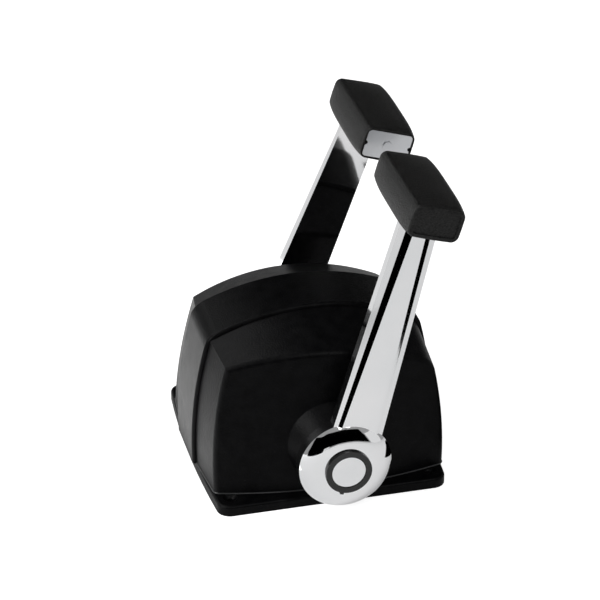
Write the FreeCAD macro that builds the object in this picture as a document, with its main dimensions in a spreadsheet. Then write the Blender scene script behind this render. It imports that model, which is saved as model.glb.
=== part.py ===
"""Twin-lever top-mount engine control for a boat: a housing, two chrome levers and their drive.

Frame: millimetres, +Z up, +X ahead, +Y to port, origin on the mounting face under the middle of the
flange. The starboard half (towards -Y) is modelled and the port half is its mirror image. A distance
outboard of the middle plane is called w, so y = -w on the starboard side. The parts of a lever are
modelled with the lever upright and its hub axis at x = z = 0, then placed with the lever's lean.
"""
import FreeCAD, Part
import math
import os
import Sketcher

App = FreeCAD
V = App.Vector
doc = App.newDocument("TwinLeverControl")

# Driving dimensions: alias, value in mm or degrees, what it is
DIMENSIONS = (
    ("flange_length", 181.0, "flange, front to rear at its middle"),
    ("flange_bow", 4.5, "how far the flange's front and rear bow out"),
    ("flange_width", 181.0, "flange, side to side"),
    ("flange_thickness", 8.0, "flange thickness"),
    ("flange_corner", 10.0, "flange corner radius"),
    ("flange_edge", 2.0, "rounding of the flange's top edge"),
    ("mount_edge_x", 14.5, "mounting holes, in from the flange's ends"),
    ("mount_edge_y", 13.0, "mounting holes, in from the flange's sides"),
    ("mount_hole_radius", 2.75, "mounting hole"),
    ("mount_sink_radius", 5.5, "countersink of a mounting hole"),
    ("mount_sink_depth", 2.75, "depth of that countersink"),
    ("window_front", 69.0, "front end of a cable window, forward of the origin"),
    ("window_rear", 56.0, "rear end of a cable window"),
    ("window_inner", 40.0, "inboard edge of a cable window"),
    ("window_outer", 66.0, "outboard edge of a cable window"),
    ("window_corner", 5.0, "corner radius of a cable window"),
    ("wall", 3.0, "wall of the moulded covers"),
    ("joint_gap", 0.1, "gap between covers that meet"),
    ("band_width", 52.0, "centre band across its front and top"),
    ("band_proud", 3.0, "how far the band stands out of the side covers"),
    ("band_edge", 2.2, "rounding of the band's edges"),
    ("foot_lip", 0.5, "how far the covers stand back from the flange's ends"),
    ("waist_in", 2.0, "how far the waist stands in from the foot, front and rear"),
    ("crown_in_front", 21.5, "how far the crown stands in from the foot, at the front"),
    ("crown_in_rear", 20.5, "how far the crown stands in from the foot, at the rear"),
    ("waist_height", 62.0, "height of the waist section"),
    ("crown_height", 140.0, "height of the crown section, above the roof"),
    ("bow_foot", 4.0, "how far a cover's front falls back towards its side, at the flange"),
    ("bow_waist", 6.0, "the same at the waist"),
    ("bow_crown", 7.5, "the same at the crown"),
    ("rear_bow", 1.5, "how far a cover's rear falls forward towards its side"),
    ("tuck_foot", 1.0, "how much nearer the middle the front corner is than the rear one, at the flange"),
    ("tuck_waist", 9.0, "the same at the waist"),
    ("tuck_crown", 6.0, "the same at the crown"),
    ("side_foot", 83.0, "side of a cover at the flange, in its middle"),
    ("side_waist", 77.5, "side of a cover at the waist, in its middle"),
    ("side_crown", 64.5, "side of a cover at the crown, in its middle"),
    ("bulge_foot", 12.0, "bulge of the side at the flange"),
    ("bulge_waist", 12.5, "bulge of the side at the waist"),
    ("bulge_crown", 5.5, "bulge of the side at the crown"),
    ("roof_radius", 175.0, "fore-and-aft curve of the roof"),
    ("roof_peak_x", -2.0, "place of the roof's highest point"),
    ("roof_peak", 132.3, "height of the band at its highest point"),
    ("roof_slope", 18.0, "fall of the roof towards the side, degrees"),
    ("roof_corner", 18.0, "rounding between the front and the roof"),
    ("shoulder", 5.0, "rounding between the roof and the side"),
    ("hub_x", 4.0, "lever axis, fore and aft"),
    ("hub_height", 41.0, "lever axis, above the mounting face"),
    ("boss_base_radius", 40.0, "foot of the conical boss on a cover"),
    ("boss_tip_radius", 25.0, "tip of that boss"),
    ("boss_root", 70.0, "where the boss starts, outboard"),
    ("boss_face", 94.5, "outboard face of the boss"),
    ("lever_lean", 17.0, "lean of both levers ahead, as they stand, degrees"),
    ("disc_radius", 34.7, "hub disc of a lever"),
    ("disc_back", 95.0, "inboard face of the hub disc"),
    ("disc_rim", 105.0, "outboard edge of the disc's rim"),
    ("disc_crown", 113.0, "crown of the domed disc, round the ring"),
    ("disc_chamfer", 1.2, "rounding of the rim"),
    ("cavity_floor", 103.0, "floor of the cavity behind the button"),
    ("arm_root_width", 40.0, "arm at the hub"),
    ("arm_top_width", 29.0, "arm at the grip"),
    ("arm_root_panel", 30.0, "flat middle of the arm's outer face at the hub"),
    ("arm_top_panel", 8.6, "flat middle of the arm's outer face at the grip"),
    ("arm_thickness", 11.0, "arm, across"),
    ("arm_root_face", 110.5, "outer face of the arm at hub height"),
    ("arm_top_face", 86.5, "outer face of the arm at grip height"),
    ("arm_top_offset", 4.5, "how far the arm's top lies ahead of the hub"),
    ("facet_steep_depth", 3.3, "depth of the steep facet at the grip"),
    ("facet_flat_depth", 1.9, "depth of the flat facet at the grip"),
    ("facet_steep_width", 5.0, "width of the steep facet at the grip"),
    ("grip_height", 201.5, "middle of the grip above the hub axis"),
    ("grip_width", 38.0, "grip, fore and aft"),
    ("grip_length", 90.0, "grip, side to side"),
    ("grip_depth", 24.0, "grip, top to bottom"),
    ("grip_inner", 18.8, "inboard end of the grip"),
    ("grip_rounding", 4.5, "rounding of the grip's long edges"),
    ("grip_end_rounding", 1.6, "rounding of the grip's outboard end"),
    ("grip_offset", 5.0, "how far the grip lies ahead of the hub"),
    ("core_width", 22.0, "bar inside the grip, fore and aft"),
    ("core_depth", 11.0, "bar inside the grip, top to bottom"),
    ("end_plate_width", 35.0, "end plate of the grip"),
    ("end_plate_depth", 21.0, "end plate, top to bottom"),
    ("end_plate_thickness", 2.4, "end plate thickness"),
    ("end_plate_notch", 1.6, "radius of the two side notches"),
    ("end_recess_margin", 3.2, "margin round the panel on the grip's outer end"),
    ("end_groove", 0.7, "width and depth of the line round that panel"),
    ("fit", 0.05, "radial clearance of a shaft or pin in its bore"),
    ("running_gap", 0.3, "gap between parts that turn past each other"),
    ("ring_radius", 17.3, "hub ring, outside"),
    ("ring_face", 115.7, "outer face of the hub ring"),
    ("ring_seat", 109.5, "seat of the hub ring in the disc"),
    ("ring_tab", 2.6, "width of the ring's key tab"),
    ("ring_tab_reach", 1.4, "how far the key tab stands out"),
    ("button_radius", 12.5, "push button in the hub"),
    ("button_face", 115.2, "face of the button at rest"),
    ("button_dome", 0.6, "dome of the button's face"),
    ("button_plate", 2.6, "thickness of the button's face"),
    ("button_skirt", 1.4, "wall of the button's skirt"),
    ("button_skirt_end", 109.0, "inner end of the skirt at rest"),
    ("button_gap", 0.25, "gap round the button"),
    ("spring_radius", 9.6, "mean radius of the button's spring"),
    ("spring_wire", 0.5, "wire radius of that spring"),
    ("spring_turns", 3.0, "turns of that spring"),
    ("shaft_radius", 6.0, "lever shaft"),
    ("shaft_inner_end", 8.0, "inboard end of the shaft"),
    ("bolt_radius", 3.0, "lever bolt"),
    ("bolt_length", 18.0, "lever bolt below its head"),
    ("bolt_head_radius", 7.6, "head of the lever bolt"),
    ("bolt_head", 3.0, "height of that head"),
    ("bolt_socket", 2.6, "hexagon socket of that head, corner radius"),
    ("bush_wall", 2.0, "wall of a shaft bush"),
    ("bush_flange", 1.0, "how far a bush flange stands out"),
    ("bush_flange_thickness", 2.0, "thickness of a bush flange"),
    ("outer_bush_inner", 75.5, "inboard end of the outer bush"),
    ("chassis_inner", 30.0, "inboard face of a chassis cheek"),
    ("cheek", 4.0, "thickness of a chassis cheek"),
    ("chassis_front", 58.0, "front of the chassis, forward of the origin"),
    ("chassis_rear", 44.0, "rear of the chassis"),
    ("cheek_rear", 24.0, "rear of the cheeks"),
    ("cheek_height", 52.0, "height of the cheeks above the flange"),
    ("cheek_corner", 12.0, "corner radius of the cheeks"),
    ("chassis_floor", 4.0, "thickness of the chassis floor"),
    ("gear_module", 1.5, "tooth module"),
    ("gear_teeth", 20.0, "teeth of the drive gear"),
    ("sector_teeth", 40.0, "teeth of a full sector circle"),
    ("pressure_angle", 20.0, "pressure angle, degrees"),
    ("tooth_root", 1.25, "depth of a tooth below the pitch circle, in modules"),
    ("tooth_tip", 0.95, "height of a tooth above the pitch circle, in modules"),
    ("backlash", 0.25, "tooth clearance per gear, along the pitch circle"),
    ("gear_inner", 40.0, "inboard face of the gears"),
    ("gear_width", 8.0, "face width of the gears"),
    ("gear_hub_radius", 10.0, "hub of the drive gear"),
    ("gear_hub_end", 54.0, "outboard end of that hub"),
    ("sector_half_angle", 58.0, "half the toothed angle of the sector"),
    ("sector_hub_radius", 8.0, "hub of the sector"),
    ("sector_web", 9.0, "depth of the rim under the sector's teeth"),
    ("shift_arm_length", 24.0, "sector axis to the shift cable pin"),
    ("arm_end_radius", 5.5, "rounded end of a cable arm"),
    ("pivot_radius", 4.0, "sector pivot pin"),
    ("pin_head_radius", 6.0, "head of the pivot pin"),
    ("pin_head", 2.0, "height of a pin head"),
    ("cable_pin_radius", 2.5, "cable pin"),
    ("cable_pin_head", 3.8, "head of a cable pin"),
    ("cable_pin_reach", 10.0, "how far a cable pin stands out of its arm"),
    ("throttle_arm_length", 34.0, "shaft axis to the throttle cable pin"),
    ("throttle_arm_thickness", 4.0, "thickness of the throttle arm"),
    ("throttle_hub_radius", 11.0, "hub of the throttle arm"),
    ("spacer_wall", 2.5, "wall of the spacer on the shaft"),
    ("clip_place", 27.2, "inboard face of the shaft clip"),
    ("clip_thickness", 1.2, "shaft clip"),
    ("clip_groove", 1.0, "depth of the clip groove"),
    ("clip_reach", 2.2, "how far the clip stands out of the shaft"),
    ("clip_opening", 4.0, "half of the clip's open side"),
    ("plunger_radius", 2.0, "body of the neutral detent plunger"),
    ("plunger_offset", 11.2, "plunger axis above the shaft axis"),
    ("plunger_inner", 21.0, "inboard end of the plunger"),
    ("plunger_nose", 1.4, "radius of the plunger's ball nose"),
    ("pad_width", 14.0, "friction pad, fore and aft"),
    ("pad_inner", 12.0, "inboard face of the friction pad"),
    ("pad_length", 11.0, "friction pad, along the shaft"),
    ("pad_depth", 9.0, "friction pad, top to bottom"),
    ("pad_wrap", 2.0, "how far the pad wraps up round the shaft"),
    ("friction_screw_radius", 3.0, "friction screw"),
    ("friction_head_radius", 4.5, "head of the friction screw"),
    ("friction_head", 3.0, "height of that head"),
    ("friction_slot", 1.0, "width of the slot in that head"),
    ("rail_margin", 4.3, "cable rail outboard of the throttle cable"),
    ("rail_height", 10.0, "cable rail, above the flange"),
    ("rail_overlap", 2.6, "seat of the rail at each end of the window"),
    ("cable_bore", 3.0, "radius of a cable seat in the rail"),
    ("cover_post_radius", 6.5, "screw post inside a cover"),
    ("cover_post_height", 26.0, "height of that post"),
    ("post_in", 9.5, "posts, in from the foot of the covers"),
    ("post_outer", 61.0, "outboard posts"),
    ("post_inner", 36.0, "inboard posts"),
    ("cover_screw_radius", 2.0, "cover screw"),
    ("cover_screw_length", 22.0, "cover screw below its head"),
    ("cover_screw_head_radius", 4.0, "head of a cover screw"),
    ("cover_screw_head", 2.0, "height of that head"),
    ("chassis_screw_x_front", 48.0, "front chassis screws"),
    ("chassis_screw_x_rear", 35.0, "rear chassis screws"),
    ("chassis_screw_w", 22.0, "chassis screws, outboard"),
    ("chassis_screw_radius", 2.5, "chassis screw"),
    ("chassis_screw_head_radius", 4.5, "head of a chassis screw"),
    ("chassis_screw_head", 3.5, "height of that head"),
    ("grip_screw_radius", 2.0, "grip screw"),
    ("grip_screw_length", 14.0, "grip screw below its head"),
    ("grip_screw_head_radius", 3.6, "head of the grip screw"),
)
NO_GAP = 0.0
QUARTER_TURN = 90.0


class Size:
    """A number that also knows the spreadsheet expression it comes from."""

    def __init__(self, value, text=None):
        self.value = float(value)
        self.text = text if text is not None else repr(float(value))

    def _join(self, other, sign, result, swap=False):
        other = as_size(other)
        first, second = (other, self) if swap else (self, other)
        return Size(result(first.value, second.value), f"({first.text} {sign} {second.text})")

    def __add__(self, other):
        return self._join(other, "+", lambda a, b: a + b)

    def __radd__(self, other):
        return self._join(other, "+", lambda a, b: a + b, swap=True)

    def __sub__(self, other):
        return self._join(other, "-", lambda a, b: a - b)

    def __rsub__(self, other):
        return self._join(other, "-", lambda a, b: a - b, swap=True)

    def __mul__(self, other):
        return self._join(other, "*", lambda a, b: a * b)

    def __rmul__(self, other):
        return self._join(other, "*", lambda a, b: a * b, swap=True)

    def __truediv__(self, other):
        return self._join(other, "/", lambda a, b: a / b)

    def __rtruediv__(self, other):
        return self._join(other, "/", lambda a, b: a / b, swap=True)

    def __neg__(self):
        return Size(-self.value, f"(0 - {self.text})")


def as_size(number):
    return number if isinstance(number, Size) else Size(number)


def root_of(size):
    return Size(math.sqrt(size.value), f"sqrt({size.text})")


def tangent_of(angle):
    return Size(math.tan(math.radians(angle.value)), f"tan({angle.text})")


class Sheet:
    """The spreadsheet of driving dimensions, read as attributes."""

    def __init__(self, rows):
        self.sheet = doc.addObject("Spreadsheet::Sheet", "Sizes")
        for row, (alias, value, note) in enumerate(rows, start=1):
            self.sheet.set(f"A{row}", alias.replace("_", " "))
            self.sheet.set(f"B{row}", repr(value))
            self.sheet.setAlias(f"B{row}", alias)
            self.sheet.set(f"C{row}", note)
            setattr(self, alias, Size(value, f"Sizes.{alias}"))
        doc.recompute()


d = Sheet(DIMENSIONS)


# Binding and sketch helpers

def bind(item, path, size):
    size = as_size(size)
    item.setExpression(path, size.text)


def body(label):
    return doc.addObject("PartDesign::Body", label)


def sketch_on(owner, role, offset=0.0):
    """A sketch on one of the body's own origin planes, moved along its normal by offset."""
    plane = next(item for item in owner.Origin.OriginFeatures if item.Role == role)
    sketch = owner.newObject("Sketcher::SketchObject", "Sketch")
    sketch.AttachmentSupport = [(plane, "")]
    sketch.MapMode = "FlatFace"
    offset = as_size(offset)
    sketch.AttachmentOffset = App.Placement(V(0, 0, offset.value), App.Rotation())
    bind(sketch, "AttachmentOffset.Base.z", offset)
    return sketch


def fix_point(sketch, geometry, point, x, y):
    for kind, size in (("DistanceX", x), ("DistanceY", y)):
        index = sketch.addConstraint(Sketcher.Constraint(kind, geometry, point, size.value))
        bind(sketch, f"Constraints[{index}]", size)


def outline(sketch, vertices):
    """A closed outline. A vertex is (x, y) or (x, y, bulge): bulge is the height of the arc that runs
    from it to the next vertex, to the right of the direction of travel."""
    corners = [(as_size(item[0]), as_size(item[1]), item[2] if len(item) > 2 else None) for item in vertices]
    ends = []
    for number, (x, y, bulge) in enumerate(corners):
        nx, ny, _ = corners[(number + 1) % len(corners)]
        start, stop = V(x.value, y.value, 0), V(nx.value, ny.value, 0)
        if bulge is None:
            index = sketch.addGeometry(Part.LineSegment(start, stop), False)
            ends.append((index, 1, 2))
            continue
        bulge = as_size(bulge)
        along = (stop - start).normalize()
        middle = (start + stop) * 0.5 + V(along.y, -along.x, 0) * bulge.value
        index = sketch.addGeometry(Part.Arc(start, middle, stop), False)
        forward = sketch.getPoint(index, 1).distanceToPoint(start) < sketch.getPoint(index, 2).distanceToPoint(start)
        ends.append((index, 1, 2) if forward else (index, 2, 1))
        radius = (((nx - x) * (nx - x) + (ny - y) * (ny - y)) / 4 + bulge * bulge) / (2 * bulge)
        radius = Size(abs(radius.value), f"abs({radius.text})")
        constraint = sketch.addConstraint(Sketcher.Constraint("Radius", index, radius.value))
        bind(sketch, f"Constraints[{constraint}]", radius)
    for number, (x, y, _) in enumerate(corners):
        index, start, _ = ends[number]
        before, _, stop = ends[number - 1]
        sketch.addConstraint(Sketcher.Constraint("Coincident", before, stop, index, start))
        fix_point(sketch, index, start, x, y)


def rectangle(sketch, x0, y0, x1, y1):
    outline(sketch, ((x0, y0), (x1, y0), (x1, y1), (x0, y1)))


def circle(sketch, x, y, radius):
    x, y, radius = as_size(x), as_size(y), as_size(radius)
    index = sketch.addGeometry(Part.Circle(V(x.value, y.value, 0), V(0, 0, 1), radius.value), False)
    fix_point(sketch, index, 3, x, y)
    constraint = sketch.addConstraint(Sketcher.Constraint("Radius", index, radius.value))
    bind(sketch, f"Constraints[{constraint}]", radius)


def hexagon(sketch, x, y, radius):
    x, y, radius = as_size(x), as_size(y), as_size(radius)
    corners = []
    for number in range(6):
        angle = math.radians(60 * number)
        corners.append((x + radius * round(math.cos(angle), 9), y + radius * round(math.sin(angle), 9)))
    outline(sketch, corners)


# Feature helpers

def pad(owner, sketch, length, midplane=False, reversed_way=False):
    feature = owner.newObject("PartDesign::Pad", "Pad")
    feature.Profile = sketch
    feature.Midplane = midplane
    feature.Reversed = reversed_way
    bind(feature, "Length", length)
    doc.recompute()
    return feature


def pocket(owner, sketch, length, midplane=False, reversed_way=False):
    """A cut that must take material away."""
    before = owner.Shape.Volume
    feature = owner.newObject("PartDesign::Pocket", "Pocket")
    feature.Profile = sketch
    feature.Midplane = midplane
    feature.Reversed = reversed_way
    bind(feature, "Length", length)
    doc.recompute()
    if not owner.Shape.Volume < before:
        raise RuntimeError(f"a pocket of {owner.Label} cuts nothing")
    return feature


def revolve(owner, sketch, groove=False):
    """A full turn about the sketch's vertical axis."""
    kind = "PartDesign::Groove" if groove else "PartDesign::Revolution"
    feature = owner.newObject(kind, "Turn")
    feature.Profile = sketch
    feature.ReferenceAxis = (sketch, ["V_Axis"])
    feature.Angle = 360.0
    doc.recompute()
    return feature


def loft(owner, sketches, ruled=False):
    feature = owner.newObject("PartDesign::AdditiveLoft", "Loft")
    feature.Profile = sketches[0]
    feature.Sections = sketches[1:]
    feature.Ruled = ruled
    doc.recompute()
    return feature


def fillet(owner, radius, chosen, kind="PartDesign::Fillet"):
    """Round or chamfer the edges of the body's shape that chosen picks."""
    base = owner.Tip
    names = [f"Edge{number}" for number, edge in enumerate(base.Shape.Edges, start=1) if chosen(edge)]
    if not names:
        raise RuntimeError(f"no edge to round on {owner.Label}")
    feature = owner.newObject(kind, "Edge")
    feature.Base = (base, names)
    bind(feature, "Radius" if kind == "PartDesign::Fillet" else "Size", radius)
    doc.recompute()
    return feature


def middle_of(edge):
    return edge.valueAt((edge.FirstParameter + edge.LastParameter) / 2)


def is_along(edge, axis):
    """True for a straight edge parallel to one of the axes x, y, z (0, 1, 2)."""
    if not isinstance(edge.Curve, Part.Line):
        return False
    return abs(abs(edge.Curve.Direction[axis]) - 1.0) < 1e-6


def near(a, b, tolerance=1e-3):
    return abs(a - float(getattr(b, "value", b))) < tolerance


def place(item, x=0.0, y=0.0, z=0.0, axis=None, angle=0.0):
    x, y, z, angle = as_size(x), as_size(y), as_size(z), as_size(angle)
    rotation = App.Rotation(axis, angle.value) if axis is not None else App.Rotation()
    item.Placement = App.Placement(V(x.value, y.value, z.value), rotation)
    for path, size in (("x", x), ("y", y), ("z", z)):
        bind(item, f"Placement.Base.{path}", size)
    if axis is not None and angle.text.startswith(("Sizes", "(")):
        bind(item, "Placement.Rotation.Angle", angle)
    return item


def rod(name, radius, w_start, w_end, x=0.0, z=0.0):
    """A cylinder that runs outboard on the starboard side, from w_start to w_end."""
    item = doc.addObject("Part::Cylinder", name)
    bind(item, "Radius", radius)
    bind(item, "Height", as_size(w_end) - w_start)
    return place(item, x, -as_size(w_start), z, V(1, 0, 0), QUARTER_TURN)


def block(name, x0, x1, y0, y1, z0, z1):
    item = doc.addObject("Part::Box", name)
    x0, x1, y0, y1, z0, z1 = (as_size(number) for number in (x0, x1, y0, y1, z0, z1))
    bind(item, "Length", x1 - x0)
    bind(item, "Width", y1 - y0)
    bind(item, "Height", z1 - z0)
    return place(item, x0, y0, z0)


def post(name, radius, x, y, z_start, z_end):
    """An upright cylinder."""
    item = doc.addObject("Part::Cylinder", name)
    bind(item, "Radius", radius)
    bind(item, "Height", as_size(z_end) - z_start)
    return place(item, x, y, z_start)


def cone(name, radius_start, radius_end, height):
    item = doc.addObject("Part::Cone", name)
    bind(item, "Radius1", radius_start)
    bind(item, "Radius2", radius_end)
    bind(item, "Height", height)
    return item


def fuse(name, items):
    result = doc.addObject("Part::MultiFuse", name)
    result.Shapes = items
    return result


def cut(name, base, tool):
    result = doc.addObject("Part::Cut", name)
    result.Base = base
    result.Tool = tool
    return result


def group(name, items):
    result = doc.addObject("Part::Compound", name)
    result.Links = items
    return result


SUBPARTS = []


def keep(item, name):
    item.Label = name
    SUBPARTS.append(item)
    return item


def keep_pair(item, name):
    """Keep a starboard part and its mirror image on the port side."""
    keep(item, f"starboard_{name}")
    twin = doc.addObject("Part::Mirroring", f"port_{name}")
    twin.Source = item
    twin.Normal = V(0, 1, 0)
    twin.Base = V(0, 0, 0)
    keep(twin, f"port_{name}")
    return item


def on_lever(item):
    """Place a part that was modelled in the upright lever's frame."""
    return place(item, d.hub_x, 0.0, d.hub_height, V(0, 1, 0), d.lever_lean)


# Housing

FLANGE_TOP = d.flange_thickness
FOOT = d.flange_length / 2 - d.foot_lip
WAIST = FOOT - d.waist_in
CROWN_FRONT = FOOT - d.crown_in_front
CROWN_REAR = FOOT - d.crown_in_rear
POST_X = FOOT - d.post_in
MOUNT_X = d.flange_length / 2 - d.mount_edge_x
MOUNT_Y = d.flange_width / 2 - d.mount_edge_y
BAND_HALF = d.band_width / 2
COVER_INNER = BAND_HALF + d.joint_gap


def make_flange():
    flange = body("FlangeBlank")
    half_x, half_y = d.flange_length / 2 - d.flange_bow, d.flange_width / 2
    plan = sketch_on(flange, "XY_Plane")
    outline(plan, (
        (-half_x, -half_y),
        (half_x, -half_y, d.flange_bow),
        (half_x, half_y),
        (-half_x, half_y, d.flange_bow),
    ))
    pad(flange, plan, FLANGE_TOP)
    fillet(flange, d.flange_corner, lambda edge: is_along(edge, 2))
    fillet(flange, d.flange_edge, lambda edge: near(edge.BoundBox.ZMin, FLANGE_TOP))
    windows = sketch_on(flange, "XY_Plane")
    for low, high in ((-d.window_outer, -d.window_inner), (d.window_inner, d.window_outer)):
        rectangle(windows, -d.window_front, low, d.window_rear, high)
    pocket(flange, windows, FLANGE_TOP, reversed_way=True)
    inside = d.flange_edge.value + d.window_front.value
    fillet(flange, d.window_corner, lambda edge: is_along(edge, 2) and abs(edge.BoundBox.XMin) < inside)
    holes = sketch_on(flange, "XY_Plane")
    for side_x in (-1, 1):
        for side_y in (-1, 1):
            circle(holes, MOUNT_X * side_x, MOUNT_Y * side_y, d.mount_hole_radius)
            circle(holes, POST_X * side_x, d.post_outer * side_y, d.cover_screw_radius + d.fit)
            circle(holes, POST_X * side_x, d.post_inner * side_y, d.cover_screw_radius + d.fit)
    for side_y in (-1, 1):
        circle(holes, d.hub_x, (d.pad_inner + d.pad_length / 2) * side_y, d.friction_head_radius + d.running_gap)
        circle(holes, -d.chassis_screw_x_front, d.chassis_screw_w * side_y, d.chassis_screw_radius + d.fit)
        circle(holes, d.chassis_screw_x_rear, d.chassis_screw_w * side_y, d.chassis_screw_radius + d.fit)
    pocket(flange, holes, FLANGE_TOP, reversed_way=True)
    heads = sketch_on(flange, "XY_Plane")
    for side_x in (-1, 1):
        for side_y in (-1, 1):
            circle(heads, POST_X * side_x, d.post_outer * side_y, d.cover_screw_head_radius + d.running_gap)
            circle(heads, POST_X * side_x, d.post_inner * side_y, d.cover_screw_head_radius + d.running_gap)
    pocket(flange, heads, d.cover_screw_head + d.running_gap, reversed_way=True)
    sinks = []
    for side_x in (-1, 1):
        for side_y in (-1, 1):
            sink = cone("Sink", d.mount_hole_radius, d.mount_sink_radius, d.mount_sink_depth)
            place(sink, MOUNT_X * side_x, MOUNT_Y * side_y,
                  FLANGE_TOP - d.mount_sink_depth)
            sinks.append(sink)
    keep(cut("FlangeSunk", flange, group("Sinks", sinks)), "base_flange")


def cover_form(label, inset, foot, rounded):
    """The outside form of the starboard cover, or the same form set in by a wall."""
    form = body(label)
    inner = COVER_INNER if rounded else as_size(0.0)
    sections = []
    for height, front, rear, side, bulge, bow, tuck in (
        (foot, FOOT, FOOT, d.side_foot, d.bulge_foot, d.bow_foot, d.tuck_foot),
        (d.waist_height, WAIST, WAIST, d.side_waist, d.bulge_waist, d.bow_waist, d.tuck_waist),
        (d.crown_height, CROWN_FRONT, CROWN_REAR, d.side_crown, d.bulge_crown, d.bow_crown, d.tuck_crown),
    ):
        section = sketch_on(form, "XY_Plane", height)
        between = side - bulge - inset
        outline(section, (
            (-(front - inset), -inner),
            (-(front - bow - inset), -(between - tuck / 2), bulge),
            (rear - d.rear_bow - inset, -(between + tuck / 2)),
            (rear - inset, -inner),
        ))
        sections.append(section)
    loft(form, sections)
    cut_roof(form, inset, d.roof_slope)
    if not rounded:
        return form
    fillet(form, d.roof_corner, lambda edge: spans_cover(edge, d.waist_height.value))
    fillet(form, d.shoulder, is_shoulder)
    return form


def cut_roof(form, inset, slope):
    """Cut away all that lies above the roof, which falls towards the side by its slope."""
    reach = FOOT * 2
    radius = d.roof_radius - inset
    centre_z = d.roof_peak - d.band_proud - d.roof_radius
    half_span = reach / 2 + d.band_width
    drop = root_of(radius * radius - half_span * half_span)
    sagitta = radius - drop
    lift = tangent_of(slope) * COVER_INNER
    ends = centre_z + drop + lift
    sky = sketch_on(form, "XZ_Plane")
    outline(sky, (
        (d.roof_peak_x + half_span, ends, sagitta),
        (d.roof_peak_x - half_span, ends),
        (d.roof_peak_x - half_span, d.crown_height + reach),
        (d.roof_peak_x + half_span, d.crown_height + reach),
    ))
    before = form.Shape.Volume
    feature = form.newObject("PartDesign::Pocket", "Pocket")
    feature.Profile = sky
    feature.UseCustomVector = True
    feature.Direction = V(0, -1, -math.tan(math.radians(slope.value)))
    feature.AlongSketchNormal = True
    bind(feature, "Length", d.flange_width)
    doc.recompute()
    if not form.Shape.Volume < before:
        raise RuntimeError("the roof cuts nothing")


def spans_cover(edge, height):
    """The two edges, across the cover, where its front and rear meet the roof."""
    box = edge.BoundBox
    return box.YLength > d.side_crown.value / 2 and box.XLength < d.side_crown.value / 2 and box.ZMin > height


def is_shoulder(edge):
    """The chain of edges round the side of the cover: up the front, along the roof, down the rear."""
    outboard = (BAND_HALF + d.wall).value
    ends = [vertex.Point for vertex in edge.Vertexes]
    above_waist = max(end.z for end in ends) > d.waist_height.value
    return above_waist and all(point.y < -outboard for point in ends + [middle_of(edge)])


def make_covers():
    outer = cover_form("CoverOuter", as_size(NO_GAP), FLANGE_TOP, True)
    inner = cover_form("CoverInner", d.wall, as_size(0.0), False)
    boss = cone("Boss", d.boss_base_radius, d.boss_tip_radius, d.boss_face - d.boss_root)
    place(boss, d.hub_x, -d.boss_root, d.hub_height, V(1, 0, 0), QUARTER_TURN)
    skirt = block("Skirt", -d.flange_length, d.flange_length, -d.flange_width, d.flange_width, -d.flange_width, FLANGE_TOP)
    bore_radius = d.shaft_radius + d.fit + d.bush_wall + d.fit
    bore = rod("BossBore", bore_radius, d.window_inner, d.boss_face + d.wall, d.hub_x, d.hub_height)
    seat = rod("BushSeat", bore_radius + d.bush_flange + d.running_gap, d.window_inner,
               d.outer_bush_inner + d.bush_flange_thickness, d.hub_x, d.hub_height)
    posts = []
    bores = []
    for side_x in (-1, 1):
        for w in (d.post_outer, d.post_inner):
            top = FLANGE_TOP + d.cover_post_height
            posts.append(post("CoverPost", d.cover_post_radius, POST_X * side_x, -w, FLANGE_TOP, top))
            hole_top = FLANGE_TOP + d.cover_screw_length
            bores.append(post("PostBore", d.cover_screw_radius + d.fit, POST_X * side_x, -w, NO_GAP, hole_top))
    wall_form = fuse("CoverWithBoss", [outer, boss])
    hollow = cut("CoverHollow", wall_form, inner)
    kept_posts = doc.addObject("Part::MultiCommon", "PostsInside")
    kept_posts.Shapes = [fuse("Posts", posts), outer]
    whole = fuse("CoverWithPosts", [hollow, kept_posts])
    trimmed = cut("CoverTrimmed", whole, group("CoverTools", [skirt, bore, seat] + bores))
    keep_pair(trimmed, "cover")


def make_band():
    """The hoop over the middle: its ends stand on the flange and its edges are rounded."""
    forms = []
    for label, set_out in (("BandOuter", d.band_proud), ("BandInner", -d.wall)):
        hoop = body(label)
        half = BAND_HALF if set_out is d.band_proud else BAND_HALF + d.wall
        foot = FLANGE_TOP if set_out is d.band_proud else as_size(0.0)
        side = sketch_on(hoop, "XZ_Plane")
        outline(side, (
            (-(FOOT + set_out), foot),
            (FOOT + set_out, foot, bow_of(FOOT, WAIST, CROWN_REAR)),
            (CROWN_REAR + set_out, d.crown_height),
            (-(CROWN_FRONT + set_out), d.crown_height, bow_of(FOOT, WAIST, CROWN_FRONT)),
        ))
        pad(hoop, side, half * 2, midplane=True)
        cut_band_roof(hoop, set_out, half)
        forms.append(hoop)
    outer, inner = forms
    roof_low = d.waist_height.value
    fillet(outer, d.roof_corner, lambda edge: is_along(edge, 1) and edge.BoundBox.ZMin > roof_low)
    floor = FLANGE_TOP.value
    fillet(outer, d.band_edge, lambda edge: edge.BoundBox.YLength < 1e-3 and edge.BoundBox.ZMax > floor + 1e-3)
    keep(cut("Band", outer, inner), "center_band")


def bow_of(foot, waist, crown):
    """How far the waist stands out of the straight line from foot to crown, seen from the side."""
    share = (d.waist_height - FLANGE_TOP) / (d.crown_height - FLANGE_TOP)
    return waist - (foot + (crown - foot) * share)


def cut_band_roof(hoop, set_out, half):
    radius = d.roof_radius + set_out
    half_span = FOOT + d.band_width
    drop = root_of(radius * radius - half_span * half_span)
    ends = d.roof_peak - d.band_proud - d.roof_radius + drop
    sky = sketch_on(hoop, "XZ_Plane")
    outline(sky, (
        (d.roof_peak_x + half_span, ends, radius - drop),
        (d.roof_peak_x - half_span, ends),
        (d.roof_peak_x - half_span, d.crown_height + half_span),
        (d.roof_peak_x + half_span, d.crown_height + half_span),
    ))
    pocket(hoop, sky, half * 4, midplane=True)


# Chassis and what it carries

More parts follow.
